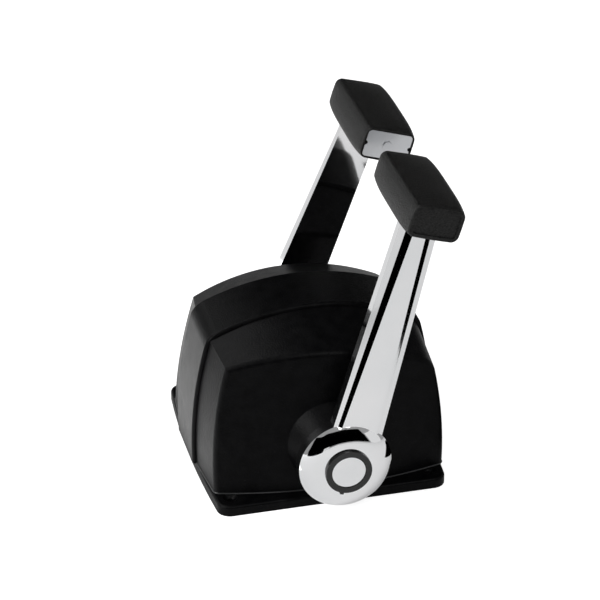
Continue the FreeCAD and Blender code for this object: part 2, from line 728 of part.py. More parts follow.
def make_chassis():
    chassis = body("Chassis")
    half = d.chassis_inner + d.cheek
    side = sketch_on(chassis, "XZ_Plane")
    floor_top = FLANGE_TOP + d.chassis_floor
    outline(side, (
        (-d.chassis_front, FLANGE_TOP),
        (d.chassis_rear, FLANGE_TOP),
        (d.chassis_rear, floor_top),
        (d.cheek_rear, floor_top),
        (d.cheek_rear, FLANGE_TOP + d.cheek_height),
        (-d.chassis_front, FLANGE_TOP + d.cheek_height),
    ))
    pad(chassis, side, half * 2, midplane=True)
    top = (FLANGE_TOP + d.cheek_height).value
    fillet(chassis, d.cheek_corner, lambda edge: is_along(edge, 1) and near(edge.BoundBox.ZMin, top))
    channel = sketch_on(chassis, "YZ_Plane")
    rectangle(channel, -d.chassis_inner, floor_top, d.chassis_inner, d.crown_height)
    pocket(chassis, channel, d.flange_length, midplane=True)
    bores = sketch_on(chassis, "XZ_Plane")
    circle(bores, d.hub_x, d.hub_height, d.shaft_radius + d.fit * 2 + d.bush_wall)
    circle(bores, PIVOT_X, d.hub_height, d.pivot_radius + d.fit)
    circle(bores, d.hub_x, d.hub_height + d.plunger_offset, d.plunger_radius + d.fit)
    pocket(chassis, bores, half * 2, midplane=True)
    holes = sketch_on(chassis, "XY_Plane")
    for side_y in (-1, 1):
        circle(holes, -d.chassis_screw_x_front, d.chassis_screw_w * side_y, d.chassis_screw_radius + d.fit)
        circle(holes, d.chassis_screw_x_rear, d.chassis_screw_w * side_y, d.chassis_screw_radius + d.fit)
        circle(holes, d.hub_x, (d.pad_inner + d.pad_length / 2) * side_y, d.friction_screw_radius + d.fit)
    pocket(chassis, holes, floor_top, reversed_way=True)
    keep(chassis, "mechanism_chassis")


GEAR_RADIUS = d.gear_module * d.gear_teeth / 2
SECTOR_RADIUS = d.gear_module * d.sector_teeth / 2
PIVOT_X = d.hub_x - GEAR_RADIUS - SECTOR_RADIUS


def make_bushes():
    """Flanged plain bearings: one in the cover's boss and one in the chassis cheek."""
    inner_radius = d.shaft_radius + d.fit
    outer_radius = inner_radius + d.bush_wall
    for name, flange_start, start, stop in (
        ("outer_bush", d.outer_bush_inner, d.outer_bush_inner, d.boss_face),
        ("inner_bush", d.chassis_inner + d.cheek, d.chassis_inner, d.chassis_inner + d.cheek + d.bush_flange_thickness),
    ):
        sleeve = rod("Sleeve", outer_radius, start, stop, d.hub_x, d.hub_height)
        collar = rod("Collar", outer_radius + d.bush_flange, flange_start,
                     flange_start + d.bush_flange_thickness, d.hub_x, d.hub_height)
        bore = rod("BushBore", inner_radius, as_size(start) - d.wall, stop + d.wall, d.hub_x, d.hub_height)
        keep_pair(cut("Bush", fuse("BushBlank", [sleeve, collar]), bore), name)


def make_plunger():
    """A screwed-in spring plunger, whose ball nose finds a dimple in the gear at neutral."""
    body_end = d.chassis_inner + d.cheek + d.plunger_radius
    height = d.hub_height + d.plunger_offset
    barrel = rod("Barrel", d.plunger_radius, d.plunger_inner, body_end, d.hub_x, height)
    tip = d.gear_inner - d.running_gap - d.plunger_nose
    stem = rod("Stem", d.plunger_nose, body_end, tip, d.hub_x, height)
    ball = doc.addObject("Part::Sphere", "Nose")
    bind(ball, "Radius", d.plunger_nose)
    place(ball, d.hub_x, -tip, height)
    keep_pair(fuse("Plunger", [barrel, stem, ball]), "detent_plunger")


def make_friction():
    """A pad under the inboard end of the shaft, pressed up by a screw from below."""
    pad_end = d.pad_inner + d.pad_length
    pad_top = d.hub_height - d.shaft_radius + d.pad_wrap
    pad_bottom = pad_top - d.pad_depth
    half = d.pad_width / 2
    shoe = block("Shoe", d.hub_x - half, d.hub_x + half, -pad_end, -d.pad_inner, pad_bottom, pad_top)
    hollow = rod("ShaftSpace", d.shaft_radius + d.fit, d.pad_inner - d.wall, pad_end + d.wall, d.hub_x, d.hub_height)
    keep_pair(cut("Pad", shoe, hollow), "friction_pad")
    middle = d.pad_inner + d.pad_length / 2
    shank = post("Shank", d.friction_screw_radius, d.hub_x, -middle, FLANGE_TOP, pad_bottom)
    head = post("Head", d.friction_head_radius, d.hub_x, -middle, FLANGE_TOP - d.friction_head, FLANGE_TOP)
    slot_half = d.friction_slot / 2
    slot = block("Slot", d.hub_x - d.friction_head_radius * 2, d.hub_x + d.friction_head_radius * 2,
                 -middle - slot_half, -middle + slot_half,
                 FLANGE_TOP - d.friction_head * 2, FLANGE_TOP - d.friction_head / 2)
    keep_pair(cut("FrictionScrew", fuse("FrictionBlank", [shank, head]), slot), "friction_screw")


def make_cable_rail():
    """The bar across a cable window that holds the ends of the shift and throttle cables."""
    front, rear = d.window_front + d.rail_overlap, d.window_rear + d.rail_overlap
    shift_w = d.gear_inner + d.gear_width + d.cable_pin_reach / 2
    throttle_w = d.gear_hub_end + d.throttle_arm_thickness + d.cable_pin_reach / 2
    bar = block("Rail", -front, rear, -(throttle_w + d.rail_margin),
                -(d.gear_inner + d.gear_width + d.running_gap),
                FLANGE_TOP, FLANGE_TOP + d.rail_height)
    seats = []
    for x, w in ((PIVOT_X - d.shift_arm_length, shift_w), (d.hub_x + d.throttle_arm_length, throttle_w)):
        seats.append(post("CableSeat", d.cable_bore, x, -w, NO_GAP, FLANGE_TOP + d.rail_height * 2))
    keep_pair(cut("CableRail", bar, group("CableSeats", seats)), "cable_rail")


def make_pivot():
    """The headed pin that carries the shift sector, pressed into the cheek."""
    head_start = d.gear_inner + d.gear_width + d.running_gap
    shank = rod("PivotShank", d.pivot_radius, d.chassis_inner, head_start, PIVOT_X, d.hub_height)
    head = rod("PivotHead", d.pin_head_radius, head_start, head_start + d.pin_head, PIVOT_X, d.hub_height)
    keep_pair(fuse("Pivot", [shank, head]), "pivot_pin")


def make_cover_screws():
    screws = []
    for side_x in (-1, 1):
        for side_y in (-1, 1):
            for w in (d.post_outer, d.post_inner):
                x, y = POST_X * side_x, as_size(w) * side_y
                shank = post("ScrewShank", d.cover_screw_radius, x, y, d.cover_screw_head,
                             d.cover_screw_head + d.cover_screw_length)
                head = post("ScrewHead", d.cover_screw_head_radius, x, y, NO_GAP, d.cover_screw_head)
                screws.append(fuse("Screw", [shank, head]))
    keep(group("CoverScrews", screws), "cover_screws")


def make_chassis_screws():
    screws = []
    floor_top = FLANGE_TOP + d.chassis_floor
    for x in (-d.chassis_screw_x_front, d.chassis_screw_x_rear):
        for side_y in (-1, 1):
            y = d.chassis_screw_w * side_y
            shank = post("ScrewShank", d.chassis_screw_radius, x, y, d.mount_sink_depth, floor_top)
            head = post("ScrewHead", d.chassis_screw_head_radius, x, y, floor_top,
                        floor_top + d.chassis_screw_head)
            screws.append(fuse("Screw", [shank, head]))
    keep(group("ChassisScrews", screws), "chassis_screws")


# Lever, in its own upright frame

def make_arm():
    """The chrome casting: hub disc, faceted arm and the bar that the grip slides on."""
    arm = body("Arm")
    top = d.grip_height - d.core_depth / 2
    sections = []
    for height, width, panel, face, offset, share in (
        (NO_GAP, d.arm_root_width, d.arm_root_panel, d.arm_root_face, NO_GAP, d.arm_top_panel / d.arm_root_panel),
        (top, d.arm_top_width, d.arm_top_panel, d.arm_top_face, d.arm_top_offset, as_size(1.0)),
    ):
        height, offset = as_size(height), as_size(offset)
        section = sketch_on(arm, "XY_Plane", height)
        steep = (width - panel) / 2 * (d.facet_steep_width / (d.arm_top_width / 2 - d.arm_top_panel / 2))
        steep_w = face - d.facet_steep_depth * share
        flat_w = steep_w - d.facet_flat_depth * share
        back = face - d.arm_thickness
        outline(section, (
            (offset - panel / 2, -face),
            (offset + panel / 2, -face),
            (offset + panel / 2 + steep, -steep_w),
            (offset + width / 2, -flat_w),
            (offset + width / 2, -back),
            (offset - width / 2, -back),
            (offset - width / 2, -flat_w),
            (offset - panel / 2 - steep, -steep_w),
        ))
        sections.append(section)
    loft(arm, sections, ruled=True)
    bar = sketch_on(arm, "XZ_Plane", d.grip_inner + d.end_plate_thickness)
    half_width, half_depth = d.core_width / 2, d.core_depth / 2
    rectangle(bar, d.grip_offset - half_width, d.grip_height - half_depth,
              d.grip_offset + half_width, d.grip_height + half_depth)
    pad(arm, bar, d.arm_top_face - d.grip_inner - d.end_plate_thickness)
    disc = sketch_on(arm, "XY_Plane")
    dome_rise = d.disc_crown - d.disc_rim
    outline(disc, (
        (0.0, -d.disc_back),
        (0.0, -d.disc_crown),
        (d.ring_radius, -d.disc_crown, dome_rise / 4),
        (d.disc_radius, -d.disc_rim),
        (d.disc_radius, -(d.disc_back + d.disc_chamfer)),
        (d.disc_radius - d.disc_chamfer, -d.disc_back),
    ))
    revolve(arm, disc)
    doc.recompute()
    cavity = sketch_on(arm, "XY_Plane")
    cavity_radius = d.button_radius + d.button_gap
    outline(cavity, (
        (0.0, -(d.disc_back - d.wall)),
        (0.0, -d.roof_radius),
        (d.ring_radius + d.fit, -d.roof_radius),
        (d.ring_radius + d.fit, -d.ring_seat),
        (cavity_radius, -d.ring_seat),
        (cavity_radius, -d.cavity_floor),
        (d.shaft_radius + d.fit, -d.cavity_floor),
        (d.shaft_radius + d.fit, -(d.disc_back - d.wall)),
    ))
    revolve(arm, cavity, groove=True)
    bores = sketch_on(arm, "XZ_Plane")
    circle(bores, d.grip_offset, d.grip_height, d.grip_screw_radius + d.fit)
    pocket(arm, bores, d.grip_inner + d.end_plate_thickness + d.grip_screw_length, reversed_way=True)
    keep_pair(on_lever(arm), "lever_arm")


def make_grip():
    """The handle: a rounded bar with a pocket for the core and a slot for the arm."""
    grip = body("Grip")
    start = d.grip_inner + d.end_plate_thickness
    stop = d.grip_inner + d.grip_length
    half_width, half_depth = d.grip_width / 2, d.grip_depth / 2
    bar = sketch_on(grip, "XZ_Plane", start)
    rectangle(bar, d.grip_offset - half_width, d.grip_height - half_depth,
              d.grip_offset + half_width, d.grip_height + half_depth)
    pad(grip, bar, d.grip_length - d.end_plate_thickness)
    fillet(grip, d.grip_rounding, lambda edge: is_along(edge, 1))
    end = -stop.value
    fillet(grip, d.grip_end_rounding, lambda edge: near(edge.BoundBox.YMin, end) and near(edge.BoundBox.YMax, end))
    core = sketch_on(grip, "XZ_Plane")
    rectangle(core, d.grip_offset - d.core_width / 2 - d.fit, d.grip_height - d.core_depth / 2 - d.fit,
              d.grip_offset + d.core_width / 2 + d.fit, d.grip_height + d.core_depth / 2 + d.fit)
    pocket(grip, core, d.arm_top_face + d.fit, reversed_way=True)
    slot = sketch_on(grip, "XY_Plane")
    clear = d.running_gap
    lean_room = (d.arm_root_face - d.arm_top_face) / (d.grip_height - d.core_depth / 2) * d.grip_depth
    rectangle(slot, d.arm_top_offset - d.arm_top_width / 2 - clear * 3, -(d.arm_top_face + clear + lean_room),
              d.arm_top_offset + d.arm_top_width / 2 + clear * 3, -(d.arm_top_face - d.arm_thickness - clear))
    pocket(grip, slot, d.grip_height - d.core_depth / 2 + clear, reversed_way=True)
    line = sketch_on(grip, "XZ_Plane", stop)
    margin = d.end_recess_margin
    for inset in (margin, margin + d.end_groove):
        rectangle(line, d.grip_offset - half_width + inset, d.grip_height - half_depth + inset,
                  d.grip_offset + half_width - inset, d.grip_height + half_depth - inset)
    pocket(grip, line, d.end_groove)
    keep_pair(on_lever(grip), "grip")
    plate = body("EndPlate")
    face = sketch_on(plate, "XZ_Plane", d.grip_inner)
    rectangle(face, d.grip_offset - d.end_plate_width / 2, d.grip_height - d.end_plate_depth / 2,
              d.grip_offset + d.end_plate_width / 2, d.grip_height + d.end_plate_depth / 2)
    pad(plate, face, d.end_plate_thickness)
    fillet(plate, d.grip_rounding - d.end_plate_notch, lambda edge: is_along(edge, 1))
    cuts = sketch_on(plate, "XZ_Plane", d.grip_inner)
    for side_x in (-1, 1):
        circle(cuts, d.grip_offset + d.end_plate_width / 2 * side_x, d.grip_height, d.end_plate_notch)
    circle(cuts, d.grip_offset, d.grip_height, d.grip_screw_radius + d.fit)
    pocket(plate, cuts, d.end_plate_thickness, reversed_way=True)
    keep_pair(on_lever(plate), "grip_end_plate")
    shank_start = d.grip_inner
    shank = rod("GripShank", d.grip_screw_radius, shank_start,
                d.grip_inner + d.end_plate_thickness + d.grip_screw_length, d.grip_offset, d.grip_height)
    head = rod("GripHead", d.grip_screw_head_radius, shank_start - d.grip_screw_radius / 2, shank_start,
               d.grip_offset, d.grip_height)
    keep_pair(on_lever(fuse("GripScrew", [shank, head])), "grip_screw")


def make_hub():
    """Ring, push button and its spring in the middle of the hub disc."""
    outer = rod("RingOuter", d.ring_radius, d.ring_seat, d.ring_face)
    tab_half = d.ring_tab / 2
    tab = block("RingTab", -tab_half, tab_half, -d.ring_face, -d.disc_crown,
                -(d.ring_radius + d.ring_tab_reach), -(d.button_radius + d.ring_tab_reach))
    hole = rod("RingHole", d.button_radius + d.button_gap, d.ring_seat - d.wall, d.ring_face + d.wall)
    keep_pair(on_lever(cut("Ring", fuse("RingBlank", [outer, tab]), hole)), "hub_ring")
    button = body("Button")
    profile = sketch_on(button, "XY_Plane")
    inside = d.button_radius - d.button_skirt
    underside = d.button_face - d.button_plate
    outline(profile, (
        (0.0, -underside),
        (0.0, -(d.button_face + d.button_dome), d.button_dome / 3),
        (d.button_radius, -d.button_face),
        (d.button_radius, -d.button_skirt_end),
        (inside, -d.button_skirt_end),
        (inside, -underside),
    ))
    revolve(button, profile)
    keep_pair(on_lever(button), "hub_button")
    spring = doc.addObject("Part::Feature", "Spring")
    height = (underside - d.cavity_floor).value - 2 * d.spring_wire.value
    pitch = height / d.spring_turns.value
    helix = Part.makeHelix(pitch, height, d.spring_radius.value)
    circle_edge = Part.makeCircle(d.spring_wire.value, V(d.spring_radius.value, 0, 0), V(0, 1, 0))
    coil = Part.Wire(helix).makePipeShell([Part.Wire(circle_edge)], True, True)
    coil.rotate(V(0, 0, 0), V(1, 0, 0), QUARTER_TURN)
    spring.Shape = moved_out(coil, d.cavity_floor + d.spring_wire)
    keep_pair(on_lever(spring), "button_spring")


def make_shaft():
    shaft = body("Shaft")
    profile = sketch_on(shaft, "XY_Plane")
    end = d.cavity_floor - d.running_gap
    groove_radius = d.shaft_radius - d.clip_groove
    groove_end = d.clip_place + d.clip_thickness
    bolt_hole = d.bolt_radius + d.fit
    bottom = end - d.bolt_length - d.running_gap
    outline(profile, (
        (0.0, -d.shaft_inner_end),
        (0.0, -bottom),
        (bolt_hole, -bottom),
        (bolt_hole, -end),
        (d.shaft_radius, -end),
        (d.shaft_radius, -groove_end),
        (groove_radius, -groove_end),
        (groove_radius, -d.clip_place),
        (d.shaft_radius, -d.clip_place),
        (d.shaft_radius, -d.shaft_inner_end),
    ))
    revolve(shaft, profile)
    keep_pair(on_lever(shaft), "drive_shaft")
    shank = rod("BoltShank", d.bolt_radius, d.cavity_floor - d.bolt_length, d.cavity_floor)
    head = rod("BoltHead", d.bolt_head_radius, d.cavity_floor, d.cavity_floor + d.bolt_head)
    socket = body("BoltSocket")
    drive = sketch_on(socket, "XZ_Plane", d.cavity_floor + d.bolt_head / 3)
    hexagon(drive, 0.0, 0.0, d.bolt_socket)
    pad(socket, drive, d.bolt_head)
    keep_pair(on_lever(cut("Bolt", fuse("BoltBlank", [shank, head]), socket)), "lever_bolt")
    start = d.gear_hub_end + d.throttle_arm_thickness
    tube = rod("Tube", d.shaft_radius + d.fit + d.spacer_wall, start, d.outer_bush_inner - d.running_gap)
    bore = rod("TubeBore", d.shaft_radius + d.fit, start - d.wall, d.outer_bush_inner + d.wall)
    keep_pair(on_lever(cut("Spacer", tube, bore)), "shaft_spacer")
    ring = rod("ClipRing", d.shaft_radius + d.clip_reach, d.clip_place + d.fit, groove_end - d.fit)
    inside = rod("ClipBore", groove_radius + d.fit, d.clip_place - d.wall, groove_end + d.wall)
    mouth = block("ClipMouth", -d.clip_opening, d.clip_opening, -(groove_end + d.wall), -(d.clip_place - d.wall),
                  NO_GAP, d.shaft_radius + d.clip_reach * 2)
    keep_pair(on_lever(cut("Clip", ring, group("ClipTools", [inside, mouth]))), "shaft_clip")


def moved_out(shape, w):
    """The shape moved outboard by w, inside its own frame."""
    return Part.Compound([shape.translated(V(0, -w.value, 0))])


# Involute teeth

def flank_angle(radius, base, reference):
    """How far an involute flank has turned at a radius, from where it is at the pitch circle."""
    def involute(r):
        if r <= base:
            return 0.0
        alpha = math.acos(base / r)
        return math.tan(alpha) - alpha
    return involute(radius) - involute(reference)


def tooth_points(pitch_radius, middle_angle):
    """One tooth, as points (x, z) round its outline from root to root."""
    module = d.gear_module.value
    base = pitch_radius * math.cos(math.radians(d.pressure_angle.value))
    root, tip = pitch_radius - d.tooth_root.value * module, pitch_radius + d.tooth_tip.value * module
    half = (math.pi * module / 2 - d.backlash.value) / 2 / pitch_radius
    flank = []
    steps = 5
    for step in range(steps + 1):
        radius = root + (tip - root) * step / steps
        flank.append((radius, half - flank_angle(radius, base, pitch_radius)))
    turned = [(radius, middle_angle - angle) for radius, angle in flank]
    turned += [(radius, middle_angle + angle) for radius, angle in reversed(flank)]
    return [V(radius * math.sin(angle), 0, radius * math.cos(angle)) for radius, angle in turned]


def toothed_face(points, width):
    """A plate of the given outline, from w = 0 to its width outboard."""
    wire = Part.makePolygon(points + [points[0]])
    return Part.Face(wire).extrude(V(0, -width, 0))


def plain_rod(radius, start, stop, x=0.0, z=0.0):
    return Part.makeCylinder(radius, stop - start, V(x, -start, z), V(0, -1, 0))


def make_drive_gear():
    """The gear on the shaft. A tooth space faces the sector when both stand as in the mesh."""
    pitch_radius = GEAR_RADIUS.value
    teeth = int(d.gear_teeth.value)
    toward_sector = -math.pi / 2 - math.radians(d.lever_lean.value)
    points = []
    for number in range(teeth):
        points += tooth_points(pitch_radius, toward_sector + math.pi / teeth + 2 * math.pi * number / teeth)
    gear = toothed_face(points, d.gear_width.value)
    hub = plain_rod(d.gear_hub_radius.value, d.gear_width.value, (d.gear_hub_end - d.gear_inner).value)
    bore = plain_rod((d.shaft_radius + d.fit).value, -1.0, d.roof_radius.value)
    nose = (d.plunger_nose + d.running_gap).value
    dimple = Part.makeSphere(nose, V(0, 0, d.plunger_offset.value))
    item = doc.addObject("Part::Feature", "DriveGear")
    item.Shape = moved_out(gear.fuse(hub).cut(bore).cut(dimple), d.gear_inner)
    keep_pair(on_lever(item), "drive_gear")


def make_shift_sector():
    """The toothed sector, its hub and the arm that pulls the shift cable, pointing ahead of the pivot."""
    pitch_radius = SECTOR_RADIUS.value
    full = int(d.sector_teeth.value)
    step = 2 * math.pi / full
    reach = int(math.radians(d.sector_half_angle.value) / step)
    points = []
    for number in range(-reach, reach + 1):
        points += tooth_points(pitch_radius, math.pi / 2 + number * step)
    rim = pitch_radius - (d.tooth_root * d.gear_module).value
    inner = rim - d.sector_web.value
    span = (reach + 0.5) * step
    steps = 12
    for number in range(steps + 1):
        angle = math.pi / 2 + span - 2 * span * number / steps
        points.append(V(inner * math.sin(angle), 0, inner * math.cos(angle)))
    width = d.gear_width.value
    rim_plate = toothed_face(points, width)
    hub_radius, end_radius = d.sector_hub_radius.value, d.arm_end_radius.value
    length = d.shift_arm_length.value
    hub = plain_rod(hub_radius, 0.0, width)
    arm = taper_arm(hub_radius, end_radius, V(-1, 0, 0), length, width)
    spokes = [
        taper_arm(hub_radius, hub_radius / 2, V(math.sin(angle), 0, math.cos(angle)), inner + 1.0, width)
        for angle in (math.pi / 2 - span + 0.12, math.pi / 2, math.pi / 2 + span - 0.12)
    ]
    whole = rim_plate.fuse([hub, arm] + spokes)
    bores = [
        plain_rod((d.pivot_radius + d.fit).value, -1.0, width + 1.0),
        plain_rod((d.cable_pin_radius + d.fit).value, -1.0, width + 1.0, -length),
    ]
    item = doc.addObject("Part::Feature", "ShiftSector")
    item.Shape = moved_out(whole.cut(bores).removeSplitter(), d.gear_inner)
    keep_pair(place(item, PIVOT_X, 0.0, d.hub_height), "shift_sector")
    start = d.gear_inner + d.gear_width
    make_cable_pin("shift_cable_pin", d.gear_inner, start, PIVOT_X - d.shift_arm_length, d.hub_height, False)


def taper_arm(start_radius, end_radius, along, length, width):
    """A flat arm with round ends from the origin to length along a direction."""
    across = V(along.z, 0, -along.x)
    end = along * length
    corners = [across * start_radius, end + across * end_radius, end - across * end_radius, across * -start_radius]
    plate = toothed_face(corners, width)
    return plate.fuse(plain_rod(end_radius, 0.0, width, end.x, end.z))


def make_cable_pin(name, w_start, w_arm, x, z, rides_lever):
    """A headed pin through the end of an arm, where a cable's eye goes."""
    stop = w_arm + d.cable_pin_reach
    shank = rod("PinShank", d.cable_pin_radius, w_start, stop, x, z)
    head = rod("PinHead", d.cable_pin_head, stop, stop + d.pin_head / 2, x, z)
    pin = fuse("CablePin", [shank, head])
    keep_pair(on_lever(pin) if rides_lever else pin, name)


def make_throttle_arm():
    start = d.gear_hub_end
    item = doc.addObject("Part::Feature", "ThrottleArm")
    thickness, length = d.throttle_arm_thickness.value, d.throttle_arm_length.value
    hub = plain_rod(d.throttle_hub_radius.value, 0.0, thickness)
    arm = taper_arm(d.throttle_hub_radius.value, d.arm_end_radius.value, V(0, 0, 1), length, thickness)
    bores = [
        plain_rod((d.shaft_radius + d.fit).value, -1.0, thickness + 1.0),
        plain_rod((d.cable_pin_radius + d.fit).value, -1.0, thickness + 1.0, 0.0, length),
    ]
    item.Shape = moved_out(hub.fuse(arm).cut(bores), start)
    keep_pair(on_lever(item), "throttle_arm")
    make_cable_pin("throttle_cable_pin", start, start + d.throttle_arm_thickness, 0.0, d.throttle_arm_length, True)


make_flange()
make_covers()
make_band()
make_chassis()
make_bushes()
make_plunger()
make_friction()
make_cable_rail()
make_pivot()
make_cover_screws()
make_chassis_screws()
make_arm()
make_grip()
make_hub()
make_shaft()
make_drive_gear()
make_shift_sector()
make_throttle_arm()


# Write the sub-parts

def write_parts():
    doc.recompute()
    failed = [item.Label for item in doc.Objects if "Invalid" in item.State or "Error" in item.State]
    if failed:
        raise RuntimeError(f"these objects failed: {failed}")
    for item in SUBPARTS:
        if item.Shape.isNull() or not item.Shape.isValid():
            raise RuntimeError(f"{item.Label} has no valid shape")
    os.makedirs("parts", exist_ok=True)
    for item in SUBPARTS:
        item.Shape.exportStep(f"parts/{item.Label}.step")
        print(item.Label, len(item.Shape.Solids), "solids,", round(item.Shape.Volume), "mm3")


write_parts()
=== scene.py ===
import math
import bpy
from mathutils import Matrix, Vector


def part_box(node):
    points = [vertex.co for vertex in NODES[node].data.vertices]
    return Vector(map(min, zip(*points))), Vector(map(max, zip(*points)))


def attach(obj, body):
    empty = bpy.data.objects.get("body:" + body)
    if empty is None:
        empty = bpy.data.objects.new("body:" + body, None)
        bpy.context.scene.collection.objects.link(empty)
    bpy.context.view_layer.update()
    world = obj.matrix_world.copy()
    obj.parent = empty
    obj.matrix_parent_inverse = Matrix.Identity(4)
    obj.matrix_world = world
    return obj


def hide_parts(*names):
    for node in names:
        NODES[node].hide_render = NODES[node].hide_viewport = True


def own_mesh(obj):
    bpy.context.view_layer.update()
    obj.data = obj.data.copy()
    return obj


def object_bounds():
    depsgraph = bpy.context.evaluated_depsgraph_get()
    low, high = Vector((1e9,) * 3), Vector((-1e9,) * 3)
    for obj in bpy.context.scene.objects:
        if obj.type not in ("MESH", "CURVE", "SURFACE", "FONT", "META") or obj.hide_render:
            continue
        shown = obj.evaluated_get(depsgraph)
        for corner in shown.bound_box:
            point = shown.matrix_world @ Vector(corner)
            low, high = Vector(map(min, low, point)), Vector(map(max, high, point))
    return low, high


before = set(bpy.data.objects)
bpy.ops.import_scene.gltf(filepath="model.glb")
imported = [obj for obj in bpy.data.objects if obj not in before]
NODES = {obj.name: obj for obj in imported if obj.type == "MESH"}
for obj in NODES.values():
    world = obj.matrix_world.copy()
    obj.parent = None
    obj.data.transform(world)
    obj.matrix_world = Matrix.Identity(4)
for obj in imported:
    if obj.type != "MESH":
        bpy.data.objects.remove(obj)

SIDES = ("starboard", "port")


def as_lists(bounds):
    return [[float(number) for number in corner] for corner in bounds]


cad_box = as_lists(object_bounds())


# Materials

PATCH_DETAIL = 4.0
GRAIN_DETAIL = 3.0
DARK_UP_TO = 0.35
LIGHT_FROM = 0.65

FINISHES = {
    "housing_plastic": dict(
        dark=(0.0014, 0.0014, 0.0017), light=(0.0036, 0.0036, 0.004), rough=0.36, rough_spread=0.07,
        grain=850.0, bump=0.9, blotch=120.0, specular=0.075, depth=0.0003),
    "grip_rubber": dict(
        dark=(0.0025, 0.0025, 0.0025), light=(0.016, 0.016, 0.0155), rough=0.40, rough_spread=0.10,
        grain=800.0, bump=1.0, blotch=620.0, specular=0.24, depth=0.0006),
    "lever_chrome": dict(
        dark=(0.88, 0.89, 0.90), light=(0.93, 0.93, 0.94), rough=0.05, rough_spread=0.012,
        grain=300.0, bump=0.004, metallic=1.0),
    "satin_metal": dict(
        dark=(0.62, 0.63, 0.65), light=(0.74, 0.75, 0.77), rough=0.30, rough_spread=0.05,
        grain=1800.0, bump=0.08, metallic=1.0),
    "button_silver": dict(
        dark=(0.86, 0.87, 0.88), light=(0.92, 0.92, 0.93), rough=0.16, rough_spread=0.03,
        grain=900.0, bump=0.03, metallic=1.0),
    "ring_plastic": dict(
        dark=(0.008, 0.008, 0.008), light=(0.012, 0.012, 0.012), rough=0.22, rough_spread=0.03,
        grain=1500.0, bump=0.03),
    "cast_aluminium": dict(
        dark=(0.42, 0.43, 0.44), light=(0.58, 0.59, 0.60), rough=0.46, rough_spread=0.08,
        grain=1400.0, bump=0.30, metallic=1.0),
    "bearing_plastic": dict(
        dark=(0.62, 0.61, 0.56), light=(0.72, 0.71, 0.66), rough=0.48, rough_spread=0.05,
        grain=1200.0, bump=0.08),
    "steel": dict(
        dark=(0.45, 0.46, 0.48), light=(0.60, 0.61, 0.63), rough=0.28, rough_spread=0.07,
        grain=900.0, bump=0.10, metallic=1.0, stretch=(1.0, 6.0, 1.0)),
    "foot_rubber": dict(
        dark=(0.030, 0.031, 0.032), light=(0.045, 0.046, 0.047), rough=0.30, rough_spread=0.05,
        grain=1200.0, bump=0.20),
}

# Every node that isn't listed is steel
FINISH_OF = {
    "base_flange": "housing_plastic", "cover": "housing_plastic", "center_band": "housing_plastic",
    "grip": "grip_rubber", "lever_arm": "lever_chrome", "grip_end_plate": "satin_metal",
    "grip_screw": "satin_metal", "hub_button": "button_silver", "hub_ring": "ring_plastic",
    "mechanism_chassis": "cast_aluminium", "shift_sector": "cast_aluminium",
    "throttle_arm": "cast_aluminium", "outer_bush": "bearing_plastic", "inner_bush": "bearing_plastic",
    "friction_pad": "bearing_plastic", "cable_rail": "bearing_plastic",
}


def noise_of(tree, scale, detail):
    texture = tree.nodes.new("ShaderNodeTexNoise")
    texture.inputs["Scale"].default_value = scale
    texture.inputs["Detail"].default_value = detail
    return texture


def finish(name, dark, light, rough, rough_spread, grain, bump, metallic=0.0, blotch=18.0, stretch=None,
           specular=0.5, depth=0.0002):
    """A surface whose colour drifts between two tones, with its own grain and patchy gloss."""
    material = bpy.data.materials.new(name)
    material.use_nodes = True
    tree = material.node_tree
    shader = tree.nodes["Principled BSDF"]
    shader.inputs["Metallic"].default_value = metallic
    shader.inputs["Specular IOR Level"].default_value = specular
    place = tree.nodes.new("ShaderNodeTexCoord")
    spread = tree.nodes.new("ShaderNodeMapping")
    if stretch:
        spread.inputs["Scale"].default_value = stretch
    tree.links.new(place.outputs["Object"], spread.inputs["Vector"])
    patches = noise_of(tree, blotch, PATCH_DETAIL)
    fine = noise_of(tree, grain, GRAIN_DETAIL)
    for texture in (patches, fine):
        tree.links.new(spread.outputs["Vector"], texture.inputs["Vector"])
    tones = tree.nodes.new("ShaderNodeValToRGB")
    tones.color_ramp.elements[0].position = DARK_UP_TO
    tones.color_ramp.elements[1].position = LIGHT_FROM
    tones.color_ramp.elements[0].color = (*dark, 1.0)
    tones.color_ramp.elements[1].color = (*light, 1.0)
    tree.links.new(patches.outputs["Fac"], tones.inputs["Fac"])
    tree.links.new(tones.outputs["Color"], shader.inputs["Base Color"])
    gloss = tree.nodes.new("ShaderNodeMapRange")
    gloss.inputs["To Min"].default_value = rough - rough_spread
    gloss.inputs["To Max"].default_value = rough + rough_spread
    tree.links.new(patches.outputs["Fac"], gloss.inputs["Value"])
    tree.links.new(gloss.outputs["Result"], shader.inputs["Roughness"])
    relief = tree.nodes.new("ShaderNodeBump")
    relief.inputs["Strength"].default_value = bump
    relief.inputs["Distance"].default_value = depth
    tree.links.new(fine.outputs["Fac"], relief.inputs["Height"])
    tree.links.new(relief.outputs["Normal"], shader.inputs["Normal"])
    return material


MATERIALS = {name: finish(name, **numbers) for name, numbers in FINISHES.items()}

for name, node in NODES.items():
    kind = name.removeprefix("starboard_").removeprefix("port_")
    for holder in node.material_slots:
        holder.material = MATERIALS[FINISH_OF.get(kind, "steel")]


# Modelled pieces, with lengths in metres

AHEAD, SIDEWAYS, UP = range(3)
HUB_AXIS = Vector((0.004, 0.0, 0.041))
LEAN = math.radians(17.0)
SAME_POINT = 0.00001
NEARLY = 0.00005
FINE_SMOOTH = 60.0


def deselect():
    bpy.ops.object.select_all(action="DESELECT")


def select_whole():
    bpy.ops.mesh.select_all(action="SELECT")


